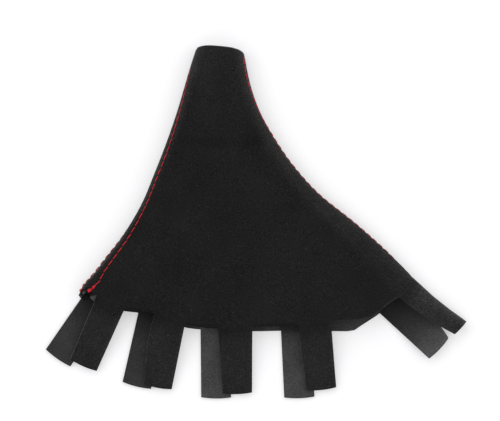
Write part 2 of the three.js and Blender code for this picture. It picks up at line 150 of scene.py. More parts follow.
print("cloth", CLOTH, "mm thick, with the neck's middle at", NECK_MIDDLE, "mm")

# %% [markdown]
# ## Smooth lines
#
# A pattern's edges are smooth curves through a few points. One helper reads a curve through
# values at equal steps, as the flare of a side is written. Another reads one through pairs, as
# the depth of the hem is. The rest make a smooth step and find places along a line.


# %% Curve helpers
def ease(t):
    """A smooth step from 0 to 1."""
    return t * t * (3 - 2 * t)


def eased(value, start, reach):
    """0 up to start, 1 from start + reach on, with a smooth step between."""
    return ease(np.clip((value - start) / reach, 0, 1))


def bend(start, end, start_slope, end_slope, t):
    """A curve from start to end with a slope at each, read at t from 0 to 1."""
    step = ease(t)
    turn = start_slope * t * (1 - t) ** 2 - end_slope * t**2 * (1 - t)
    return start * (1 - step) + end * step + turn


def through_list(values, share):
    """A smooth value at a share from 0 to 1 along values at equal steps."""
    values = np.asarray(values, float)
    last = len(values) - 1
    place = np.clip(share, 0.0, 1.0) * last
    k = np.minimum(np.floor(place).astype(int), last - 1)
    t = place - k
    before, here = values[np.maximum(k - 1, 0)], values[k]
    there, after = values[k + 1], values[np.minimum(k + 2, last)]
    return bend(here, there, (there - before) / 2, (after - here) / 2, t)


def through_pairs(pairs, x):
    """A smooth value at x through (x, value) pairs, flat past the ends."""
    places, values = np.array(pairs, float).T
    last = len(places) - 1
    k = np.clip(np.searchsorted(places, x, side="right") - 1, 0, last - 1)
    index = np.arange(last + 1)
    low, high = np.maximum(index - 1, 0), np.minimum(index + 1, last)
    slopes = (values[high] - values[low]) / (places[high] - places[low])
    width = places[k + 1] - places[k]
    t = np.clip((x - places[k]) / width, 0, 1)
    return bend(values[k], values[k + 1], slopes[k] * width, slopes[k + 1] * width, t)


def side_line(start, drop, flare, shares):
    """One side of the tube from above, read by the share of its length from the neck."""
    even = np.linspace(0, 1, len(shares))

    def at(t):
        return np.array([
            start[0] + flare * through_list(shares, t),
            start[1] - drop * through_list(even, t),
        ])

    steps = np.linspace(0, 1, 201)
    lengths = running_length(at(steps).T)
    return lambda s: at(np.interp(s * lengths[-1], lengths, steps))


def running_length(points):
    """How far each point of a line is from its start, along the line."""
    return np.concatenate([[0.0], np.cumsum(np.linalg.norm(np.diff(points, axis=0), axis=1))])


def line_shares(points):
    """The same as shares of the whole line, from 0 to 1."""
    lengths = running_length(points)
    return lengths / lengths[-1]


def read_line(distance, lengths, points):
    """The points of a line at some distances along it."""
    return np.stack([np.interp(distance, lengths, points[:, i]) for i in range(3)], axis=-1)


steep_side = side_line((-NECK_WIDTH / 2, 0), STEEP_DROP, -STEEP_FLARE, STEEP_SHARES)
long_side = side_line((NECK_WIDTH / 2, -RIM_SLOPE), LONG_DROP, LONG_FLARE, LONG_SHARES)
print("the sides end at", np.round(steep_side(1.0), 1), "and", np.round(long_side(1.0), 1))

# %% [markdown]
# ## The flattened tube
#
# A real gaiter is cut flat and sewn, and laid down it flattens into two layers joined by soft
# folds. The tube is described here as it lies: a row at any share down the seams is a loop over
# the top layer, round the long side's fold and back beneath. A cloth simulation would not stop at
# the outline of this one, so the loops are shaped from given measures.

# %% The tube, row by row
FOLD_STEPS, FLAT_STEPS = 20, 40


def row_shift(hem, s, across):
    """How far a row is moved along Y at a share across: the rim's bulge and the hem's depth."""
    bulge = RIM_BULGE * (1 - np.abs(2 * across - 1) ** 3) ** 0.45
    return bulge * (1 - s) ** RIM_FADE - through_pairs(hem, across) * s**HEM_FADE


class RowLoop:
    """The tube's outer surface at one share down the seams."""

    def __init__(self, s):
        start, end = steep_side(s), long_side(s)
        swell = STEEP_SWELL * math.exp(-(((s - SWELL_PLACE) / SWELL_REACH) ** 2))
        start[0] -= swell
        width = np.hypot(*(end - start))
        turn = np.linspace(0, math.pi / 2, FOLD_STEPS, endpoint=False)
        up, out = np.sin(turn), 1 - np.cos(turn)
        steep_fold, steep_height = through_list(STEEP_FOLDS, s), through_list(STEEP_HEIGHTS, s)
        long_height = through_list(LONG_HEIGHTS, s)
        layers = []
        for upper in (True, False):
            long_fold = through_list(LONG_FOLDS if upper else LONG_UNDER_FOLDS, s)
            flat = np.linspace(steep_fold, width - long_fold, FLAT_STEPS + 1)
            distance = np.concatenate([steep_fold * out, flat, (width - long_fold * out)[::-1]])
            rise = np.concatenate([up, np.ones(FLAT_STEPS + 1), up[::-1]])
            across = distance / width
            height = (1 - across) * steep_height + across * long_height
            roof = height - through_list(ROOF_DIPS, s) * np.sin(math.pi * across) ** 2
            middle = height / 2
            plan = start + (end - start) * across[:, None]
            plan[:, 1] += row_shift(UPPER_HEM if upper else LOWER_HEM, s, across)
            z = middle + (roof - middle) * rise if upper else middle * (1 - rise)
            layers.append(np.column_stack([plan, z]))
        over, under = layers
        self.points = np.concatenate([over, under[::-1][1:]])
        self.lengths = running_length(self.points)
        self.total = self.lengths[-1]
        self.steep_seam = through_pairs(STEEP_SEAM_SHIFTS, s) + swell
        self.long_seam = self.lengths[len(over) - 1] - through_pairs(LONG_SEAM_SHIFTS, s)

    def at(self, distance):
        return read_line(np.mod(distance, self.total), self.lengths, self.points)


row_loop = functools.cache(RowLoop)


class PanelSurface:
    """One panel of the tube, read by distance x from the steep seam and share s down it."""

    NUDGE = 0.004

    def __init__(self, name, tabs, row_stray, hem_inset):
        self.name, self.tabs, self.row_stray, self.hem_inset = name, tabs, row_stray, hem_inset
        self.upper = name == "upper"
        self.sign = 1 if self.upper else -1

    def span(self, s):
        loop = row_loop(s)
        over = loop.long_seam - loop.steep_seam
        return over if self.upper else loop.total - over

    def points(self, x, s):
        loop = row_loop(s)
        return loop.at(loop.steep_seam + self.sign * np.atleast_1d(x))

    def normals(self, x, s):
        before, after = max(0.0, s - self.NUDGE), min(1.0, s + self.NUDGE)
        share = x / self.span(s)
        rightwards = self.points(x + 0.3, s) - self.points(x - 0.3, s)
        above, below = (self.points(share * self.span(near), near) for near in (before, after))
        across = self.sign * np.cross(below - above, rightwards)
        return across / np.linalg.norm(across, axis=1)[:, None]

    def slant(self, s, at_steep):
        """How much longer a distance square to a seam is when it is measured along the row."""
        before, after = max(0.0, s - self.NUDGE), min(1.0, s + self.NUDGE)
        place = (lambda share: 0.0) if at_steep else self.span
        seam = (self.points(place(after), after) - self.points(place(before), before))[0]
        inwards = place(s) + (1 if at_steep else -1)
        row = (self.points(inwards, s) - self.points(place(s), s))[0]
        seam, row = seam / np.linalg.norm(seam), row / np.linalg.norm(row)
        return 1 / np.linalg.norm(np.cross(seam, row))


surfaces = {
    "upper": PanelSurface("upper", UPPER_TABS, UPPER_ROW_STRAY, UPPER_HEM_INSET),
    "lower": PanelSurface("lower", LOWER_TABS, LOWER_ROW_STRAY, LOWER_HEM_INSET),
}
print({name: round(surface.span(1.0), 1) for name, surface in surfaces.items()}, "mm of hem")

# %% [markdown]
# ## Rows of topstitching
#
# Each panel has a row of red stitches beside each seam. A lockstitch goes down through the same
# needle hole that the next stitch comes up from, and the tight thread pulls a dent into the cloth
# there. Cloth and thread both need to know where the holes are, so each row is measured first.
# At the steep seam's base the machine wandered: there the rows come up to a millimetre closer to
# the seam.


# %% Stitch rows
HOLE_SHARPNESS = 8  # how closely the pull keeps to its needle hole


def row_offset(surface, at_steep, s):
    """How far a row runs from its seam."""
    return TOPSTITCH_OFFSET - (through_pairs(surface.row_stray, s) if at_steep else 0.0)


class StitchRow:
    """A line of needle holes beside one seam, read by distance along it from the rim."""

    def __init__(self, surface, at_steep):
        self.surface, self.at_steep = surface, at_steep
        self.shares = np.linspace(0, 1, 161)
        self.x = np.array([self.place(s) for s in self.shares])
        places = list(zip(self.x, self.shares))
        self.line = np.concatenate([surface.points(x, s) for x, s in places])
        self.up = np.concatenate([surface.normals(np.array([x]), s) for x, s in places])
        self.lengths = running_length(self.line)
        self.start = ROW_INSET if at_steep else LONG_ROW_INSET
        hem_inset = surface.hem_inset if at_steep else ROW_INSET
        usable = self.lengths[-1] - self.start - hem_inset
        self.count = round(usable / STITCH_PITCH)
        self.pitch = usable / self.count

    def place(self, s):
        offset = row_offset(self.surface, self.at_steep, s)
        offset *= self.surface.slant(s, self.at_steep)
        return offset if self.at_steep else self.surface.span(s) - offset

    def frame_at(self, distance):
        """The point on the cloth, the way along the row and the way out of the cloth."""
        near = np.array([distance - 0.4, distance, distance + 0.4])
        points = read_line(near, self.lengths, self.line)
        along = points[2] - points[0]
        along /= np.linalg.norm(along)
        up = read_line(distance, self.lengths, self.up)
        up -= along * up.dot(along)
        return points[1], along, up / np.linalg.norm(up)

    def hole_pull(self, distance):
        """1 at a needle hole and 0 between two, and 0 past the row's ends."""
        turn = (distance - self.start) / self.pitch
        inside = (turn > -0.3) & (turn < self.count + 0.3)
        return np.where(inside, np.abs(np.cos(math.pi * turn)) ** HOLE_SHARPNESS, 0.0)


stitch_rows = {
    (name, steep): StitchRow(surface, steep)
    for name, surface in surfaces.items()
    for steep in (True, False)
}
for (name, steep), row in stitch_rows.items():
    print(name, "steep" if steep else "long", row.count, "stitches of", round(row.pitch, 2), "mm")

# %% [markdown]
# ## The grid of a panel
#
# A sheet of cloth is easiest to shape as one grid whose points are moved, because the grid's rows
# and columns then follow the weave and the seams. The columns stand close together where the edge
# turns back on itself and where the stitches pull, and wider apart in the middle. The grid is the
# suede face alone: the thickness comes afterwards.

# %% Columns across a panel
ROWS = 170
WIDE_STEP, FINE_STEP = 1.6, 0.75
EDGE_LINE = 0.5  # width of the pale line that a tab's cut edge shows
RIM_STEP = 1.1  # how much lower the upper panel's rim lies than the lower panel's
TURN_STEPS = 8
LOWER_HEM_CORNER = [185.2, 188.2, 189.7, 191.2, 192.7, 195.2]  # closer columns where it turns
EDGE_REACH = 4.5  # how far from the rows the columns stay close together


def folded_edge():
    """(distance from the seam, depth) from the allowance's raw end, round the fold, to the row."""
    radius = CLOTH + LAYER_GAP / 2
    middle = SEAM_GAP / 2 + radius
    under = [(x, 2 * radius) for x in (ALLOWANCE, 5.4, 4.3, TOPSTITCH_OFFSET, 2.2)]
    turn = [
        (middle - radius * math.sin(a), radius + radius * math.cos(a))
        for a in np.linspace(0, math.pi, TURN_STEPS + 1)
    ]
    return under + turn + [(1.85, 0.0), (2.5, 0.0), (TOPSTITCH_OFFSET, 0.0)]


def spread(start, end, step):
    """Even places after start, up to end and with it."""
    count = max(1, math.ceil((end - start) / step))
    return list(np.linspace(start, end, count + 1)[1:])


def hem_columns(surface):
    """Places of the columns along the hem between the two rows of topstitching."""
    first = TOPSTITCH_OFFSET * surface.slant(1.0, True)
    last = surface.span(1.0) - TOPSTITCH_OFFSET * surface.slant(1.0, False)
    places = [first]
    marks = [first + 3.2, last] + ([] if surface.upper else LOWER_HEM_CORNER)
    for start, end, *_ in surface.tabs:
        marks += [start, start + EDGE_LINE, end - EDGE_LINE, end]
    for mark in sorted(marks):
        near = min(mark - first, last - places[-1]) < EDGE_REACH
        places += spread(places[-1], mark, FINE_STEP if near else WIDE_STEP)
    return first, last, places[1:-1]


def grid_rows(surface):
    """The suede face's points and painted light and shade, row by row, and its columns' places."""
    edge = folded_edge()
    first, last, inner = hem_columns(surface)
    edge_x, edge_depth = np.array(edge).T
    rows, painted_levels = [], []
    for s in np.linspace(0, 1, ROWS + 1):
        span = surface.span(s)
        steep, long = surface.slant(s, True), surface.slant(s, False)
        start, end = TOPSTITCH_OFFSET * steep, span - TOPSTITCH_OFFSET * long
        middle = start + (np.array(inner) - first) / (last - first) * (end - start)
        x = np.concatenate([edge_x * steep, middle, (span - edge_x * long)[::-1]])
        depth = np.concatenate([edge_depth, np.zeros(len(inner)), edge_depth[::-1]])
        normals = surface.normals(x, s)
        depth = depth - relief(surface, x, s, span, steep, long, depth)
        row = surface.points(x, s) - normals * depth[:, None]
        if surface.upper:
            off_middle = np.abs(2 * np.clip(x / span, 0, 1) - 1)
            row[:, 1] -= RIM_STEP * (1 - s) ** 30 * (1 - off_middle**6)
        rows.append(row)
        painted_levels.append(body_painted_light(surface, row, x / span, normals, s))
    return np.array(rows), np.array(painted_levels), len(edge), np.array(inner)


for name, surface in surfaces.items():
    print(name, "panel:", len(hem_columns(surface)[2]), "columns between its rows")

# %% [markdown]
# ## What sewing and handling do to the cloth
#
# The stitches draw a shallow groove with a dent at each needle hole, and the cloth between row and
# fold swells a little over the allowance inside. The big faces aren't quite flat either: the cloth
# is slack, and a gaiter that has been folded in a bag keeps soft hollows.

# %% Relief of the cloth
GROOVE, DENT, GROOVE_REACH = 0.1, 0.14, 0.75
PUFF = 0.1
PUFFS = [(-1.6, 0.9, 1.0), (1.9, 1.1, 0.6)]  # place beside the row, reach, share of PUFF
ROW_FADE = 4  # how far from its ends a row's relief fades in
SLACK, SLACK_MARGIN = 0.16, 12  # height of the slack cloth's waves, kept off the seams
HOLLOWS = [  # place from the neck's middle, reach across and down, depth: all mm
    (25.0, -57.0, 6.0, 5.5, 0.7),
    (-4.0, -59.5, 24.0, 4.0, 0.45),
]


def relief(surface, x, s, span, steep_slant, long_slant, depth):
    """How far the suede face stands out past the plain tube, in mm."""
    out = np.zeros_like(x)
    for at_steep in (True, False):
        row = stitch_rows[surface.name, at_steep]
        distance = np.interp(s, row.shares, row.lengths)
        pull = row.hole_pull(distance)
        away = x / steep_slant if at_steep else (span - x) / long_slant
        away = away - row_offset(surface, at_steep, s)
        groove = np.exp(-((away / GROOVE_REACH) ** 2))
        swell = sum(part * np.exp(-(((away - at) / reach) ** 2)) for at, reach, part in PUFFS)
        inside = min(1.0, distance / ROW_FADE, (row.lengths[-1] - distance) / ROW_FADE)
        out += inside * (PUFF * swell * (1 - 0.4 * pull) - (GROOVE + DENT * pull) * groove)
    if surface.upper:
        points = surface.points(x, s)
        out -= spots(points, HOLLOWS)
        face = np.clip(np.minimum(x, span - x) / SLACK_MARGIN, 0, 1)
        waves = np.sin(0.11 * points[:, 0] + 1.3) * np.sin(0.083 * points[:, 1] + 0.4)
        out += SLACK * face * waves
    return np.where(depth < 0.01, out, 0.0)


def spots(points, table, amount=None):
    """The sum of a table's soft round spots at some points, each with its own or one amount."""
    total = np.zeros(len(points))
    for across, down, reach_x, reach_y, own in table:
        far = ((points[:, 0] - across) / reach_x) ** 2 + ((points[:, 1] - down) / reach_y) ** 2
        total += (amount or own) * np.exp(-far)
    return total


print("relief of the cloth: grooves of", GROOVE, "mm with dents of", DENT, "mm more")

# %% [markdown]
# ## Painted light and shade
#
# Suede isn't one colour, and here light and shade are painted into it too. Where the cloth bends
# over a fold it gets a painted sheen, and where it lies in a hollow, painted shade. The painted
# level is kept as a number at each point of the mesh, 1 for the flat cloth, and the material
# multiplies its colour by it.

# %% Painted light and shade
# painted sheen where the cloth tilts, on the folds and tabs
STEEP_SHEEN, LONG_SHEEN, TAB_SHEEN, LAST_TAB_SHEEN = 3.3, 4.5, 1.2, 3.5
HEM_SHEEN, CORNER_SHADE = 0.3, 0.2  # more painted sheen on the folds near the hem, but less at the corner
CORNER_SPAN, STRIP_SPAN, STRIP_EDGE = (0.93, 0.04), (0.6, 0.3), (3.5, 1.5)  # start and reach
# painted light on the neck, the hem and a strip beside the steep seam; painted shade in the hollows
# and over the whole lower panel
NECK_LIGHT, HEM_LIGHT, HOLLOW_SHADE, UNDER_SHADE, STRIP_LIGHT = 0.36, 0.12, -0.25, 0.9, 0.36
NECK_REACH = 0.35
SHEEN_SPOTS = [  # place from the neck's middle, reach across and down, gain: spots of painted sheen
    (-16.5, -12.0, 2.0, 6.0, 0.35),
    (31.0, -62.0, 5.0, 9.0, 0.3),
]


def painted_sheen(up_share):
    """How much painted sheen a tilted surface gets, from 0 on the flat to 1."""
    return (1 - np.clip(np.abs(up_share), 0, 1)) ** 0.6


def body_painted_light(surface, points, share, normals, s):
    """Painted light and shade on a row: its folds, neck, hem, sheen spots and hollows."""
    most = STEEP_SHEEN + (LONG_SHEEN - STEEP_SHEEN) * np.clip(share, 0, 1)
    most = most * (1 + HEM_SHEEN * s**3)
    most = np.where(share < 0.5, most * (1 - CORNER_SHADE * eased(s, *CORNER_SPAN)), most)
    painted_level = 1 + most * painted_sheen(normals[:, 2])
    beside_seam = 1 - eased(share * surface.span(s), *STRIP_EDGE)
    painted_level *= 1 + STRIP_LIGHT * beside_seam * eased(s, *STRIP_SPAN)
    if surface.upper:
        painted_level += NECK_LIGHT * ease(max(0.0, 1 - s / NECK_REACH)) + HEM_LIGHT * s**3
        painted_level += spots(points, HOLLOWS, HOLLOW_SHADE) + spots(points, SHEEN_SPOTS)
    else:
        painted_level *= UNDER_SHADE
    return painted_level


def tab_painted_light(rows, base, most=TAB_SHEEN):
    """A tab's painted sheen from the slope of its rows of points, times its painted base."""
    rows = np.array(rows)
    cross = np.cross(np.gradient(rows, axis=0), np.gradient(rows, axis=1))
    slope = cross[..., 2] / np.linalg.norm(cross, axis=-1)
    return (1 + most * painted_sheen(slope)) * base


# prints how much paler the painted sheen makes cloth that stands on edge
print("painted sheen makes cloth that stands on edge", 1 + STEEP_SHEEN, "times as pale")

# %% [markdown]
# ## The tabs
#
# Each tab is a strip that hangs from the hem and is later glued round the console's frame. It
# leans by its own angle and sinks from the height of the tube to the table. The last tab of the
# upper panel is different, because the fold of the long side runs on into it.

# %% Shapes of the tabs
TAB_STEP = 1.5


def tab_axis(lean):
    """The way that a tab points, by its lean from straight down in degrees."""
    angle = math.radians(lean)
    return np.array([math.sin(angle), -math.cos(angle), 0.0])


def end_bulge(across):
    return TAB_END_BULGE * (1 - (2 * across - 1) ** 2)


def leaning_tab(root, tab, end_height, far_corner):
    """Rows of points of a tab that leans by an angle, from below its root to its end."""
    lean, length, end_width, near_swell, far_swell = tab[2:]
    along = tab_axis(lean)
    sideways = np.array([-along[1], along[0], 0.0])
    across = line_shares(root)
    middle = (root[0] + root[-1]) / 2
    turned = np.clip((across - 1) * end_width / max(far_corner, 0.01) + 1, 0, 1)
    reach = length + end_bulge(across) - far_corner * (1 - np.sqrt(1 - turned**2))
    end = middle + along * reach[:, None] + sideways * (end_width * (across - 0.5))[:, None]
    rows = []
    for share in spread(0.0, 1.0, TAB_STEP / length):
        row = root + (end - root) * share
        near = near_swell * math.sin(math.pi * share**0.75) * (1 - across) ** 2
        far = far_swell * math.sin(math.pi * min(1.0, (1 - share) / 0.8)) * across**2
        row += sideways * (far - near)[:, None]
        row[:, 2] = root[:, 2] + (end_height - root[:, 2]) * ease(share)
        rows.append(row)
    return rows


def fold_place(distance, width, height):
    """A distance round a fold's quarter ellipse as (inwards from its outermost line, up)."""
    turn = np.linspace(0, math.pi / 2, 25)
    arc = np.column_stack([width * (1 - np.cos(turn)), height / 2 * np.sin(turn)])
    lengths = running_length(arc)
    far = np.abs(distance)
    inset = np.interp(far, lengths, arc[:, 0]) + np.maximum(0, far - lengths[-1])
    rise = np.interp(far, lengths, arc[:, 1])
    return inset, height / 2 + np.where(distance < 0, -1, 1) * rise


def folded_tab(surface, root, start, end, lean, length):
    """Rows of the last upper tab, which carries the long fold on."""
    along = tab_axis(lean)
    inwards = np.array([along[1], -along[0], 0.0])
    fold_end = np.array([*long_side(1.0), 0.0])
    to_fold = surface.span(1.0) + through_pairs(LONG_SEAM_SHIFTS, 1.0)
    across = line_shares(root)
    root_distance = to_fold - start - across * (end - start)
    root_inset, root_z = fold_place(root_distance, LONG_FOLDS[2], LONG_HEIGHTS[2])
    straight_root = fold_end + inwards * root_inset[:, None]
    straight_root[:, 2] = root_z
    rows = []
    for share in spread(0.0, 1.0, TAB_STEP / length):
        narrowed = LAST_TAB_CURL * max(0.0, share - CURL_START) * (1 - across)
        distance = root_distance - LAST_TAB_UNDERFOLD * share - narrowed
        width = LONG_FOLDS[2] + (LAST_TAB_FOLD - LONG_FOLDS[2]) * share
        height = LONG_HEIGHTS[2] + (LAST_TAB_HEIGHT - LONG_HEIGHTS[2]) * share
        inset, z = fold_place(distance, width, height)
        inset += LAST_TAB_SAG * math.sin(math.pi * share)
        reach = (length + end_bulge(across)) * share
        row = fold_end + along * reach[:, None] + inwards * inset[:, None]
        row[:, 2] = z
        rows.append(row + (root - straight_root) * (1 - ease(share)))
    return rows


print(len(UPPER_TABS), "tabs on each panel")

# %% [markdown]
# ## The turned-up corner
#
# Beside the steep seam the upper panel's hem has a free corner between the row's end and the
# first tab. It has been folded up over the suede and shows a small triangle of its pale back,
# with painted light along its fold and painted shade at its ends.

# %% Turned-up corner
CORNER_HEIGHT = 3.4  # mm that the corner reaches over the suede
CORNER_PEAK = 0.7  # share of its foot where it is highest
CORNER_TURN = 0.12  # mm, inner radius of its fold
CORNER_LIGHTS, CORNER_END_SHADE = (1.9, 0.7), 0.4  # painted light, fold to tip, and ends' shade


def turned_corner(edge, outwards, up):
    """Rows of the corner's suede face, from the hem round the fold and over the panel."""
    share = line_shares(edge)
    height = CORNER_HEIGHT * np.minimum(share / CORNER_PEAK, (1 - share) / (1 - CORNER_PEAK))
    height = np.maximum(height, 0.4)
    rows = [edge]
    for turn in spread(0.0, math.pi, math.pi / 5):
        out, rise = CORNER_TURN * math.sin(turn), CORNER_TURN * (1 - math.cos(turn))
        rows.append(edge + outwards * out + up * rise)
    for part in spread(0.0, 1.0, 0.25):
        rows.append(rows[5] - outwards * height[:, None] * part + up * 0.25 * part)
    return rows


print("the corner reaches", CORNER_HEIGHT, "mm over the suede")

# %% [markdown]
# ## From grid to cloth
#
# Each panel starts as Blender's own grids, one for the body and one for each tab, whose points are
# moved to their places. Solidify then gives the cloth its millimetre, and puts the smooth back and
# the cut edge into material slots of their own.

# %% Sheet helpers
MERGE_REACH = 0.002  # mm


def add_grid(bm, rows, flip=False, painted_levels=None):
    """Adds a grid whose points stand at rows[i][j], in mm from the neck's middle."""
    places = (np.asarray(rows) + [*NECK_MIDDLE, 0.0]) * MM
    nap_and_painted_light = None if painted_levels is None else bm.verts.layers.float["painted_light_and_shade"]
    down, across = len(rows) - 1, len(rows[0]) - 1
    made = bmesh.ops.create_grid(bm, x_segments=across, y_segments=down, size=1.0)["verts"]
    for vert in made:
        i = round((1 - vert.co.y) / 2 * down)
        j = round((1 + vert.co.x) / 2 * across)
        vert.co = places[i, j]
        if nap_and_painted_light:
            vert[nap_and_painted_light] = painted_levels[i][j]
    if flip:
        faces = {face for vert in made for face in vert.link_faces}
        bmesh.ops.reverse_faces(bm, faces=list(faces))


def finish_mesh(obj, sharp_degrees):
    """Applies the modifiers, and keeps corners sharper than the angle crisp."""
    evaluated = obj.evaluated_get(bpy.context.evaluated_depsgraph_get())
    mesh = bpy.data.meshes.new_from_object(evaluated)
    obj.modifiers.clear()
    obj.data = mesh
    mesh.name = obj.name
    mesh.shade_smooth()
    mesh.set_sharp_from_angle(angle=math.radians(sharp_degrees))


def add_object(name, bm):
    mesh = bpy.data.meshes.new(name)
    bm.to_mesh(mesh)
    bm.free()
    obj = bpy.data.objects.new(name, mesh)
    scene.collection.objects.link(obj)
    return obj


print("points within", MERGE_REACH, "mm become one")

# %% [markdown]
# ## Colours and nodes
#
# Colours are written as the hex values that a picture editor shows, and shaders want linear light,
# so one function turns them. Another adds a node with its settings and inputs in one line. The
# cloth's face, back and cut edge all end in the same few nodes, which the last makes.


# %% Colour and node helpers
def linear(hex_colour):
    """An sRGB hex colour as the linear colour that a shader socket takes."""
    parts = [int(hex_colour[i : i + 2], 16) / 255 for i in (0, 2, 4)]
    return [c / 12.92 if c <= 0.04045 else ((c + 0.055) / 1.055) ** 2.4 for c in parts] + [1.0]


def node(tree, kind, inputs=None, **settings):
    """Adds a node. An input is a number, a hex colour, a node's output or a node, for its first."""
    made = tree.nodes.new("ShaderNode" + kind)
    for name, value in settings.items():
        setattr(made, name, value)
    for name, value in (inputs or {}).items():
        if isinstance(value, str):
            value = linear(value)
        if isinstance(value, bpy.types.Node):
            value = value.outputs[0]
        if isinstance(value, bpy.types.NodeSocket):
            tree.links.new(value, made.inputs[name])
        else:
            made.inputs[name].default_value = value
    return made


def new_material(name):
    material = bpy.data.materials.new(name)
    material.use_nodes = True
    material.node_tree.nodes.clear()
    return material, material.node_tree


def cloth_shader(tree, colour, look, palest=None):
    """Ends a cloth's nodes: colour times painted light and shade, in a shader with a look."""
    painted_level = node(tree, "Attribute", attribute_name="painted_light_and_shade").outputs["Fac"]
    if palest:
        painted_level = node(tree, "Math", {0: painted_level, 1: palest}, operation="MINIMUM")
    lit = node(tree, "VectorMath", {0: colour.outputs[2], "Scale": painted_level}, operation="SCALE")
    shader = node(tree, "BsdfPrincipled", {"Base Color": lit, **look})
    node(tree, "OutputMaterial", {"Surface": shader})


print("hex 808080 is", round(linear("808080")[0], 3), "in linear light")

# %% [markdown]
# ## Microfibre suede
#
# The cloth is a microfibre suede: a felt of polyester fibres finer than silk, whose face is
# buffed until a short nap stands up. It has almost no gloss. The nap catches light where the
# surface turns away from the eye, which is what Sheen is for, and it lies in faint cloudy
# patches from handling. A napped face also collects lint, so a few pale specks belong on it.

# %% Suede face
PATCH_SIZE, NAP_SIZE, LINT_CELL = 18.0, 0.8, 1.9  # mm, the nap drawn coarser than real to show
PATCH_WEIGHT = 0.3
LINT_SIZE, LINT_BARE, LINT_MOST = 0.13, 0.3, 0.7  # speck in its cell, bare cells, palest mix

suede, tree = new_material("black_microfibre_suede")
place = node(tree, "TexCoord").outputs["Object"]
patches = node(tree, "TexNoise", {"Vector": place, "Scale": 1 / (PATCH_SIZE * MM), "Detail": 3.0})
nap_and_painted_light = node(tree, "TexNoise", {"Vector": place, "Scale": 1 / (NAP_SIZE * MM)})
shade = node(tree, "Math", {0: patches, 1: PATCH_WEIGHT, 2: nap_and_painted_light}, operation="MULTIPLY_ADD")
level = node(tree, "MapRange", {"Value": shade, "From Min": 0.46, "From Max": 0.85})
cloth_colour = node(tree, "Mix", {0: level, 6: "0D0D0D", 7: "1F1E1E"}, data_type="RGBA")
lint = node(tree, "TexVoronoi", {"Vector": place, "Scale": 1 / (LINT_CELL * MM)})
speck = node(tree, "Math", {0: lint, 1: LINT_SIZE}, operation="LESS_THAN")
chance = node(tree, "SeparateColor", {"Color": lint.outputs["Color"]})
chosen = node(tree, "MapRange", {"Value": chance, "From Min": LINT_BARE, "To Max": LINT_MOST})
lint_share = node(tree, "Math", {0: speck, 1: chosen}, operation="MULTIPLY")
with_lint = node(tree, "Mix", {
    0: lint_share, 6: cloth_colour.outputs[2], 7: "4A4642",
}, data_type="RGBA")
bump = node(tree, "Bump", {"Height": nap_and_painted_light, "Strength": 0.35, "Distance": 0.25 * MM})
cloth_shader(tree, with_lint, {
    "Roughness": 0.95,
    "Specular IOR Level": 0.12,
    "Sheen Weight": 0.4,
    "Sheen Roughness": 0.35,
    "Sheen Tint": "C4C0C0",
    "Normal": bump,
})
print("made", suede.name)

# %% [markdown]
# ## The back of the cloth
#
# The back isn't napped. It is smooth and greyer, with a fine even grain, and it shows on the
# lower panel's tabs, which lie with their inside up, and inside the neck and the base.

# %% Cloth back
GRAIN_SIZE, CLOUD_SIZE = 0.8, 12.0  # mm
CLOUD_WEIGHT = 0.4

cloth_back, tree = new_material("smooth_microfibre_back")
place = node(tree, "TexCoord").outputs["Object"]
grain = node(tree, "TexNoise", {"Vector": place, "Scale": 1 / (GRAIN_SIZE * MM)})
clouds = node(tree, "TexNoise", {"Vector": place, "Scale": 1 / (CLOUD_SIZE * MM)})
shade = node(tree, "Math", {0: clouds, 1: CLOUD_WEIGHT, 2: grain}, operation="MULTIPLY_ADD")
level = node(tree, "MapRange", {"Value": shade, "From Min": 0.53, "From Max": 0.87})
back_colour = node(tree, "Mix", {0: level, 6: "2E2E2E", 7: "434343"}, data_type="RGBA")
bump = node(tree, "Bump", {"Height": grain, "Strength": 0.25, "Distance": 0.12 * MM})
cloth_shader(tree, back_colour, {
    "Roughness": 0.85,
    "Specular IOR Level": 0.25,
    "Sheen Weight": 0.15,
    "Sheen Roughness": 0.5,
    "Normal": bump,
})
print("made", cloth_back.name)

# %% [markdown]
# ## Cut edges
#
# Microfibre doesn't fray, so the hem and tabs are left raw. The cut shows the felt's inside,
# which is a little lighter than both faces and catches the light as a thin line.

# %% Cut edge
FUZZ_SIZE, EDGE_MOST = 0.5, 1.2  # mm, and the most painted light that a cut edge takes

cut_edge, tree = new_material("cut_microfibre_edge")
place = node(tree, "TexCoord").outputs["Object"]
fuzz = node(tree, "TexNoise", {"Vector": place, "Scale": 1 / (FUZZ_SIZE * MM)})
edge_colour = node(tree, "Mix", {0: fuzz, 6: "2E2C2C", 7: "5C5858"}, data_type="RGBA")
cloth_shader(tree, edge_colour, {"Roughness": 0.95, "Specular IOR Level": 0.15}, EDGE_MOST)
print("made", cut_edge.name)

# %% [markdown]
# ## The two side panels
#
# Each panel with its five tabs is one piece of cloth, so it is one mesh. First comes the light and
# shade painted into it, tab by tab and along the hem, because the light falls on each of them in
# its own way.

# %% Painted light and shade of the tabs and the hem
# painted light and shade on the lower tabs' backs, darker where an upper tab shades them
BACK_LIGHTS = [0.55, 0.5, 1.07, 0.96, 0.89]
EVEN = [(0.45, 1), (1, 1.06)]
BACK_ALONG = [  # (share of its length, painted level) along each lower tab, from its root
    [(0, 0.72), (0.15, 0.86), *EVEN],
    [(0, 0.62), (0.15, 0.81), *EVEN],
    [(0, 1.45), (0.15, 1.22), *EVEN],
    [(0, 0.5), (0.05, 0.86), (0.15, 0.97), *EVEN],
    [(0, 0.27), (0.2, 0.26), (0.35, 0.35), (0.5, 0.52), (0.7, 0.85), (0.85, 1.35), (1, 2.0)],
]
ROOT_SHADES = [0.62, 0.45, 0, 0, 0]  # painted shade: how much darker the root's far side is
FOLD_END_SHADE = 0.35  # painted shade where the folded edges end at the hem, in the fold's shade
MOUTH_LIGHT = 1.5  # painted light on the lower panel's allowance, in the mouth beside that fold
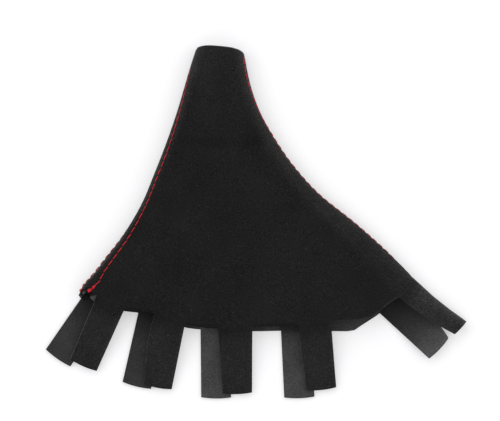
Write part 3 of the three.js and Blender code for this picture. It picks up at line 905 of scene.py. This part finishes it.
# painted light on the upper tabs' faces
FACE_LIGHTS = [1.74, 1.7, 1.6, 1.63, 2.25]
# painted highlight on each upper tab's left cut edge
LEFT_EDGE_HIGHLIGHTS = [5.0, 2.3, 1.6, 1.6, 1.2]
# painted highlight on the hem's cut edge
HEM_EDGE_HIGHLIGHT = 2.6
HEM_EDGE = (188.0, 217.4)  # mm along the hem, where its cut edge catches the light
FREE_HEM = [(33.5, 52.5), (74.5, 94.5), (118.5, 146.8)]  # painted shade on its last rows
HEM_LIP_SHADES = [0.9, 0.75, 0.55]
FOLD_END_ROWS, MOUTH_ROWS, MOUTH_COLUMNS, ROOT_ROWS = 3, 7, 5, 6  # of the grid, from the hem up
LOWER_END_ROWS, LOWER_END_COLUMNS = 4, 6
# painted sheen on an upper tab's far side
TAB_EDGE_LIGHT, TAB_EDGE_SPAN = 0.35, (0.82, 0.18)  # an upper tab's far side, from share and reach


def panel_tab(surface, k, root):
    """The rows of one tab and its painted light and shade."""
    tab = surface.tabs[k]
    last = k == len(UPPER_TABS) - 1
    if surface.upper and last:
        rows = [root, *folded_tab(surface, root, *tab[:4])]
    else:
        lift = LOWER_TAB_LIFTS[k] + (2 * CLOTH + TAB_GAP if surface.upper else 0)
        rows = [root, *leaning_tab(root, tab, lift, LAST_CORNER if last else 0.0)]
    share, across = np.linspace(0, 1, len(rows))[:, None], line_shares(root)
    if surface.upper:
        base = 1 + (FACE_LIGHTS[k] - 1) * eased(share, 0, 0.3)
        painted_levels = tab_painted_light(rows, base, LAST_TAB_SHEEN if last else TAB_SHEEN)
        painted_levels *= 1 + TAB_EDGE_LIGHT * eased(across, *TAB_EDGE_SPAN)
        painted_levels[:, 0] *= LEFT_EDGE_HIGHLIGHTS[k]
    else:
        painted_levels = tab_painted_light(rows, BACK_LIGHTS[k]) * through_pairs(BACK_ALONG[k], share)
        painted_levels *= 1 - ROOT_SHADES[k] * np.clip(across * 1.5, 0, 1) * np.clip(1 - share / 0.35, 0, 1)
        if last:
            # painted light on the far side of the last lower tab
            painted_levels *= 1 + 0.3 * across**1.5 * np.sin(math.pi * share)
    return rows, painted_levels


def shade_hem(surface, painted_levels, hem_x, edge_count):
    """Paints light and shade into the last rows: hem lip and edge, folds' ends, the mouth."""
    if surface.upper:
        hem = slice(edge_count, edge_count + len(hem_x))
        pale = (hem_x > HEM_EDGE[0]) & (hem_x < HEM_EDGE[1])
        painted_levels[-1, hem] *= np.where(pale, HEM_EDGE_HIGHLIGHT, 1.0)
        free = np.any([(hem_x > low) & (hem_x < high) for low, high in FREE_HEM], axis=0)
        for k, lip in enumerate(HEM_LIP_SHADES):
            painted_levels[k - len(HEM_LIP_SHADES), hem] *= np.where(free, lip, 1.0)
    painted_levels[-FOLD_END_ROWS:, : edge_count + 1] *= FOLD_END_SHADE
    if not surface.upper:
        end = painted_levels[-LOWER_END_ROWS:, : edge_count + LOWER_END_COLUMNS]
        np.minimum(end, FOLD_END_SHADE, out=end)
        painted_levels[-MOUTH_ROWS:, :MOUTH_COLUMNS] = MOUTH_LIGHT


print("the upper tabs are", min(FACE_LIGHTS), "to", max(FACE_LIGHTS), "times as pale as the body")

# %% [markdown]
# The grids of the body, the tabs and the corner share their points on the hem, so merging them
# makes one sheet.


# %% Side panels
def corner_grid(surface, edge):
    """The rows of the turned-up corner and their painted light and shade."""
    along = (edge[-1] - edge[0]) / np.linalg.norm(edge[-1] - edge[0])
    up = surface.normals(np.array([6.0]), 1.0)[0]
    rows = turned_corner(edge, np.cross(along, up), up)
    ends = 1 - CORNER_END_SHADE * np.abs(2 * np.linspace(0, 1, len(edge)) - 1) ** 2
    return rows, np.linspace(*CORNER_LIGHTS, len(rows))[:, None] * ends


def side_panel(name):
    surface = surfaces[name]
    rows, painted_levels, edge_count, hem_x = grid_rows(surface)
    hem = rows[-1]
    flip = not surface.upper
    bm = bmesh.new()
    bm.verts.layers.float.new("painted_light_and_shade")

    def column(place):
        return edge_count + int(np.argmin(np.abs(hem_x - place)))

    shade_hem(surface, painted_levels, hem_x, edge_count)
    for k, (start, end, *_) in enumerate(surface.tabs):
        root = slice(column(start), column(end) + 1)
        tab_rows, tab_painted_levels = panel_tab(surface, k, hem[root])
        if surface.upper:
            tab_painted_levels[0] = painted_levels[-1, root]
        else:
            painted_levels[-ROOT_ROWS:, root] = tab_painted_levels[0]
        add_grid(bm, tab_rows, flip, tab_painted_levels)
    add_grid(bm, rows, flip, painted_levels)
    if surface.upper:
        edge = hem[edge_count + 2 : column(UPPER_TABS[0][0]) + 1]
        corner_rows, corner_painted_levels = corner_grid(surface, edge)
        add_grid(bm, corner_rows, flip, corner_painted_levels)
    bmesh.ops.remove_doubles(bm, verts=bm.verts, dist=MERGE_REACH * MM)
    obj = add_object(f"{name}_suede_panel", bm)
    for material in (suede, cloth_back, cut_edge):
        obj.data.materials.append(material)
    thickness = obj.modifiers.new("cloth", "SOLIDIFY")
    thickness.thickness = CLOTH * MM
    thickness.offset = -1.0
    thickness.material_offset = 1
    thickness.material_offset_rim = 2
    finish_mesh(obj, 50)
    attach(obj, "root")
    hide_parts(f"{name}_side_panel")
    print(obj.name, "has", len(obj.data.polygons), "faces")
    return obj


panels = {name: side_panel(name) for name in surfaces}

# %% [markdown]
# ## Sewing thread
#
# Sewing thread is polyester, two plies twisted together, smoother than the suede and a little
# darker where the plies meet. The contrast thread is red. A black one closes the seams inside,
# where hardly anything of it shows, so the CAD's own rows only get its material.

# %% Thread materials
THREADS = [  # name, size of its flecks in mm, dark and light colour, gloss
    ("red_polyester_thread", 0.6, "A0101C", "DA2432", 0.3),
    ("black_polyester_thread", 0.5, "0E0E0E", "222222", 0.4),
]

threads = []
for name, fleck, dark, light, gloss in THREADS:
    thread_material, tree = new_material(name)
    place = node(tree, "TexCoord").outputs["Object"]
    fibres = node(tree, "TexNoise", {"Vector": place, "Scale": 1 / (fleck * MM)})
    thread_colour = node(tree, "Mix", {0: fibres, 6: dark, 7: light}, data_type="RGBA")
    shader = node(tree, "BsdfPrincipled", {
        "Base Color": thread_colour.outputs[2], "Roughness": 0.55, "Specular IOR Level": gloss,
    })
    node(tree, "OutputMaterial", {"Surface": shader})
    threads.append(thread_material)
red_thread, black_thread = threads

for side in ("steep", "long"):
    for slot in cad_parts[f"{side}_seam_closing_thread"].material_slots:
        slot.material = black_thread
print("made", red_thread.name, "and", black_thread.name)

# %% [markdown]
# ## The topstitches
#
# A stitch is a short length of thread that comes up through one needle hole and goes down
# through the next. Each is a small grid rolled into a tube, with two lobes that wind round it for
# the twisted plies, and its ends sink into the cloth. No two machine stitches lie quite alike, so
# a seeded random number turns each one a little across the row.

# %% Stitches
THREAD_RADIUS = 0.31
STITCH_AROUND, STITCH_ALONG = 8, 10
PLY_LOBE, PLY_TWIST = 0.12, 0.45  # share of the radius, turns per mm
PULL = [(0, 0.95), (0.2, 0.8), (0.6, 0.82), (0.75, 0.92), (1, 0.88)]  # thinner where it is tight
STITCH_TURN = 0.2  # mm across the row from a stitch's start to its middle
SINK = 0.7  # mm, how deep a stitch's middle line goes below the cloth at a hole

jitter = random.Random(7)


def add_stitch(bm, row, start, end, sides, radius, stand, sink=SINK):
    """A tube of thread along a row from start to end, set to the side by sides at its ends."""
    turns = np.linspace(0, 2 * math.pi, STITCH_AROUND + 1)
    rows = []
    for k, t in enumerate(np.linspace(0, 1, STITCH_ALONG + 1)):
        centre, along, up = row.frame_at(start + (end - start) * t)
        side = np.cross(along, up)
        arch = 1 - abs(2 * t - 1) ** 3.2
        shift = sides[0] + (sides[1] - sides[0]) * t
        centre = centre + up * (-sink + (sink + stand) * arch) + side * shift
        size = 0.0 if k in (0, STITCH_ALONG) else radius * (0.72 + 0.28 * arch)
        twist = 2 * math.pi * PLY_TWIST * (end - start) * t
        around = size * (1 + PLY_LOBE * np.cos(2 * turns - twist))
        ring = np.outer(around * np.cos(turns), side) + np.outer(around * np.sin(turns), up)
        rows.append(centre + ring)
    add_grid(bm, rows)


def add_tack(bm, row, middle, length, strands, radius, rise):
    """Short stitches over each other, as a machine sews to lock a row's end."""
    for k in range(strands):
        side = (k - (strands - 1) / 2) * radius * 1.3
        lean = 0.25 if k % 2 else -0.25
        near = length / 2 * (1 - 0.12 * abs(k - (strands - 1) / 2))
        add_stitch(
            bm, row, middle - near, middle + near, (side - lean, side + lean), radius,
            stand=0.25 + rise, sink=0.4 - rise * 0.3,
        )


# How far each row stands out of its cloth, in mm at shares down it: less where it is pressed in
ROW_STANDS = {
    ("upper", True): [(0, -0.4), (0.07, -0.4), (0.1, 0.12), (1, 0.15)],
    ("upper", False): [(0, 0.1), (0.2, 0.12), (0.4, 0.02), (1, -0.02)],
    ("lower", True): [(0, -0.2), (0.7, -0.2), (0.78, 0.05), (0.9, 0.3), (1, 0.4)],
    ("lower", False): [(0, 0.1), (1, 0.1)],
}
TACKS = [  # middle before the row's end, length, strands, radius, rise above and beneath
    (4.4, 3.0, 2, 0.44, 0.0, 0.25),
    (0.6, 3.4, 3, 0.46, 0.0, 0.0),
    (0.5, 2.6, 2, 0.46, 0.5, 0.5),
]


def topstitch_row(name, steep):
    row = stitch_rows[name, steep]
    bm = bmesh.new()
    for k in range(row.count):
        start = row.start + k * row.pitch
        lean = STITCH_TURN * (1 + 0.4 * jitter.uniform(-1, 1))
        share = np.interp(start + row.pitch / 2, row.lengths, row.shares)
        swell = through_pairs(PULL, share) + 0.05 * jitter.uniform(-1, 1)
        stand = through_pairs(ROW_STANDS[name, steep], share)
        add_stitch(bm, row, start, start + row.pitch, (-lean, lean), THREAD_RADIUS * swell, stand)
    end = row.start + row.count * row.pitch
    if steep:
        for before, length, strands, radius, *rises in TACKS:
            rise = rises[0 if name == "upper" else 1]
            add_tack(bm, row, end - before, length, strands, radius, rise)
    else:
        add_stitch(bm, row, row.start - 0.2, row.start + 0.4, (-1.2, 1.2), 0.36, stand=0.35)
    bmesh.ops.remove_doubles(bm, verts=bm.verts, dist=MERGE_REACH * MM)
    bmesh.ops.recalc_face_normals(bm, faces=bm.faces)
    side = "steep" if steep else "long"
    obj = add_object(f"{side}_seam_{name}_red_stitches", bm)
    obj.data.materials.append(red_thread)
    obj.data.shade_smooth()
    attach(obj, "root")
    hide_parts(f"{side}_seam_{name}_topstitch")
    print(obj.name, "has", len(obj.data.polygons), "faces")
    return obj


stitch_pieces = {key: topstitch_row(*key) for key in stitch_rows}

# %% [markdown]
# ## What the cloth was before it was sewn
#
# Each panel is a sheet, cut flat as a flared strip with a comb of tabs, far from a rectangle.

# %% [markdown]
# ## The floor
#
# The floor is plain pale paper. Rays from the camera also see a little light of its own there, so
# that it goes to clean white and the cloth's soft shadows still show.

# %% Floor
FLOOR_SIZE = 6.0
FLOOR_DROP = 0.2  # mm below the cloth, so that the two faces don't fight
FLOOR_GLOW = 0.37

paper, tree = new_material("white_paper_floor")
rays = node(tree, "LightPath").outputs
seen = rays["Is Camera Ray"]
for ray in ("Is Glossy Ray", "Is Transmission Ray"):
    seen = node(tree, "Math", {0: seen, 1: rays[ray]}, operation="MAXIMUM")
glow = node(tree, "Math", {0: seen, 1: FLOOR_GLOW}, operation="MULTIPLY")
matt = node(tree, "BsdfDiffuse", {"Color": "D3D3D5"})
shine = node(tree, "Emission", {"Color": "FFFFFF", "Strength": glow})
both = node(tree, "AddShader", {0: matt, 1: shine})
node(tree, "OutputMaterial", {"Surface": both})

bm = bmesh.new()
bmesh.ops.create_grid(bm, x_segments=1, y_segments=1, size=FLOOR_SIZE / 2)
for vert in bm.verts:
    vert.co.z = -FLOOR_DROP * MM
floor = add_object("floor", bm)
floor.data.materials.append(paper)
print("floor of", FLOOR_SIZE, "m")

# %% [markdown]
# ## Light
#
# Flat goods are photographed in a white tent, which is the world's even white here. Three
# softboxes stand left, right and beyond the neck, and none on the near side, where the cloth leaves
# its soft shadow. Together they render a colour about as it is written.

# %% Lamps and world
LAMPS = [  # name, place in m, size in m, power in W
    ("left_softbox", (-1.2, 0.25, 0.85), 0.8, 3.6),
    ("right_softbox", (1.2, 0.25, 0.85), 0.8, 2.6),
    ("far_softbox", (-0.25, 1.2, 0.9), 0.8, 3.6),
]
WORLD_LEVEL = 0.8

for name, place, size, power in LAMPS:
    lamp = bpy.data.lights.new(name, "AREA")
    lamp.shape = "SQUARE"
    lamp.size = size
    lamp.energy = power
    obj = bpy.data.objects.new(name, lamp)
    obj.location = place
    away = np.array(place)
    obj.rotation_euler = (
        math.acos(away[2] / np.linalg.norm(away)), 0.0, math.atan2(away[1], away[0]) + math.pi / 2,
    )
    scene.collection.objects.link(obj)

world = bpy.data.worlds.new("white_room")
world.use_nodes = True
scene.world = world
tree = world.node_tree
tree.nodes.clear()
camera_ray = node(tree, "LightPath").outputs["Is Camera Ray"]
strength = node(tree, "MapRange", {"Value": camera_ray, "To Min": WORLD_LEVEL})
sky = node(tree, "Background", {"Color": "FFFFFF", "Strength": strength})
node(tree, "OutputWorld", {"Surface": sky})
scene.view_settings.view_transform = "Standard"
print("lamps", [name for name, *_ in LAMPS], "and world", WORLD_LEVEL)
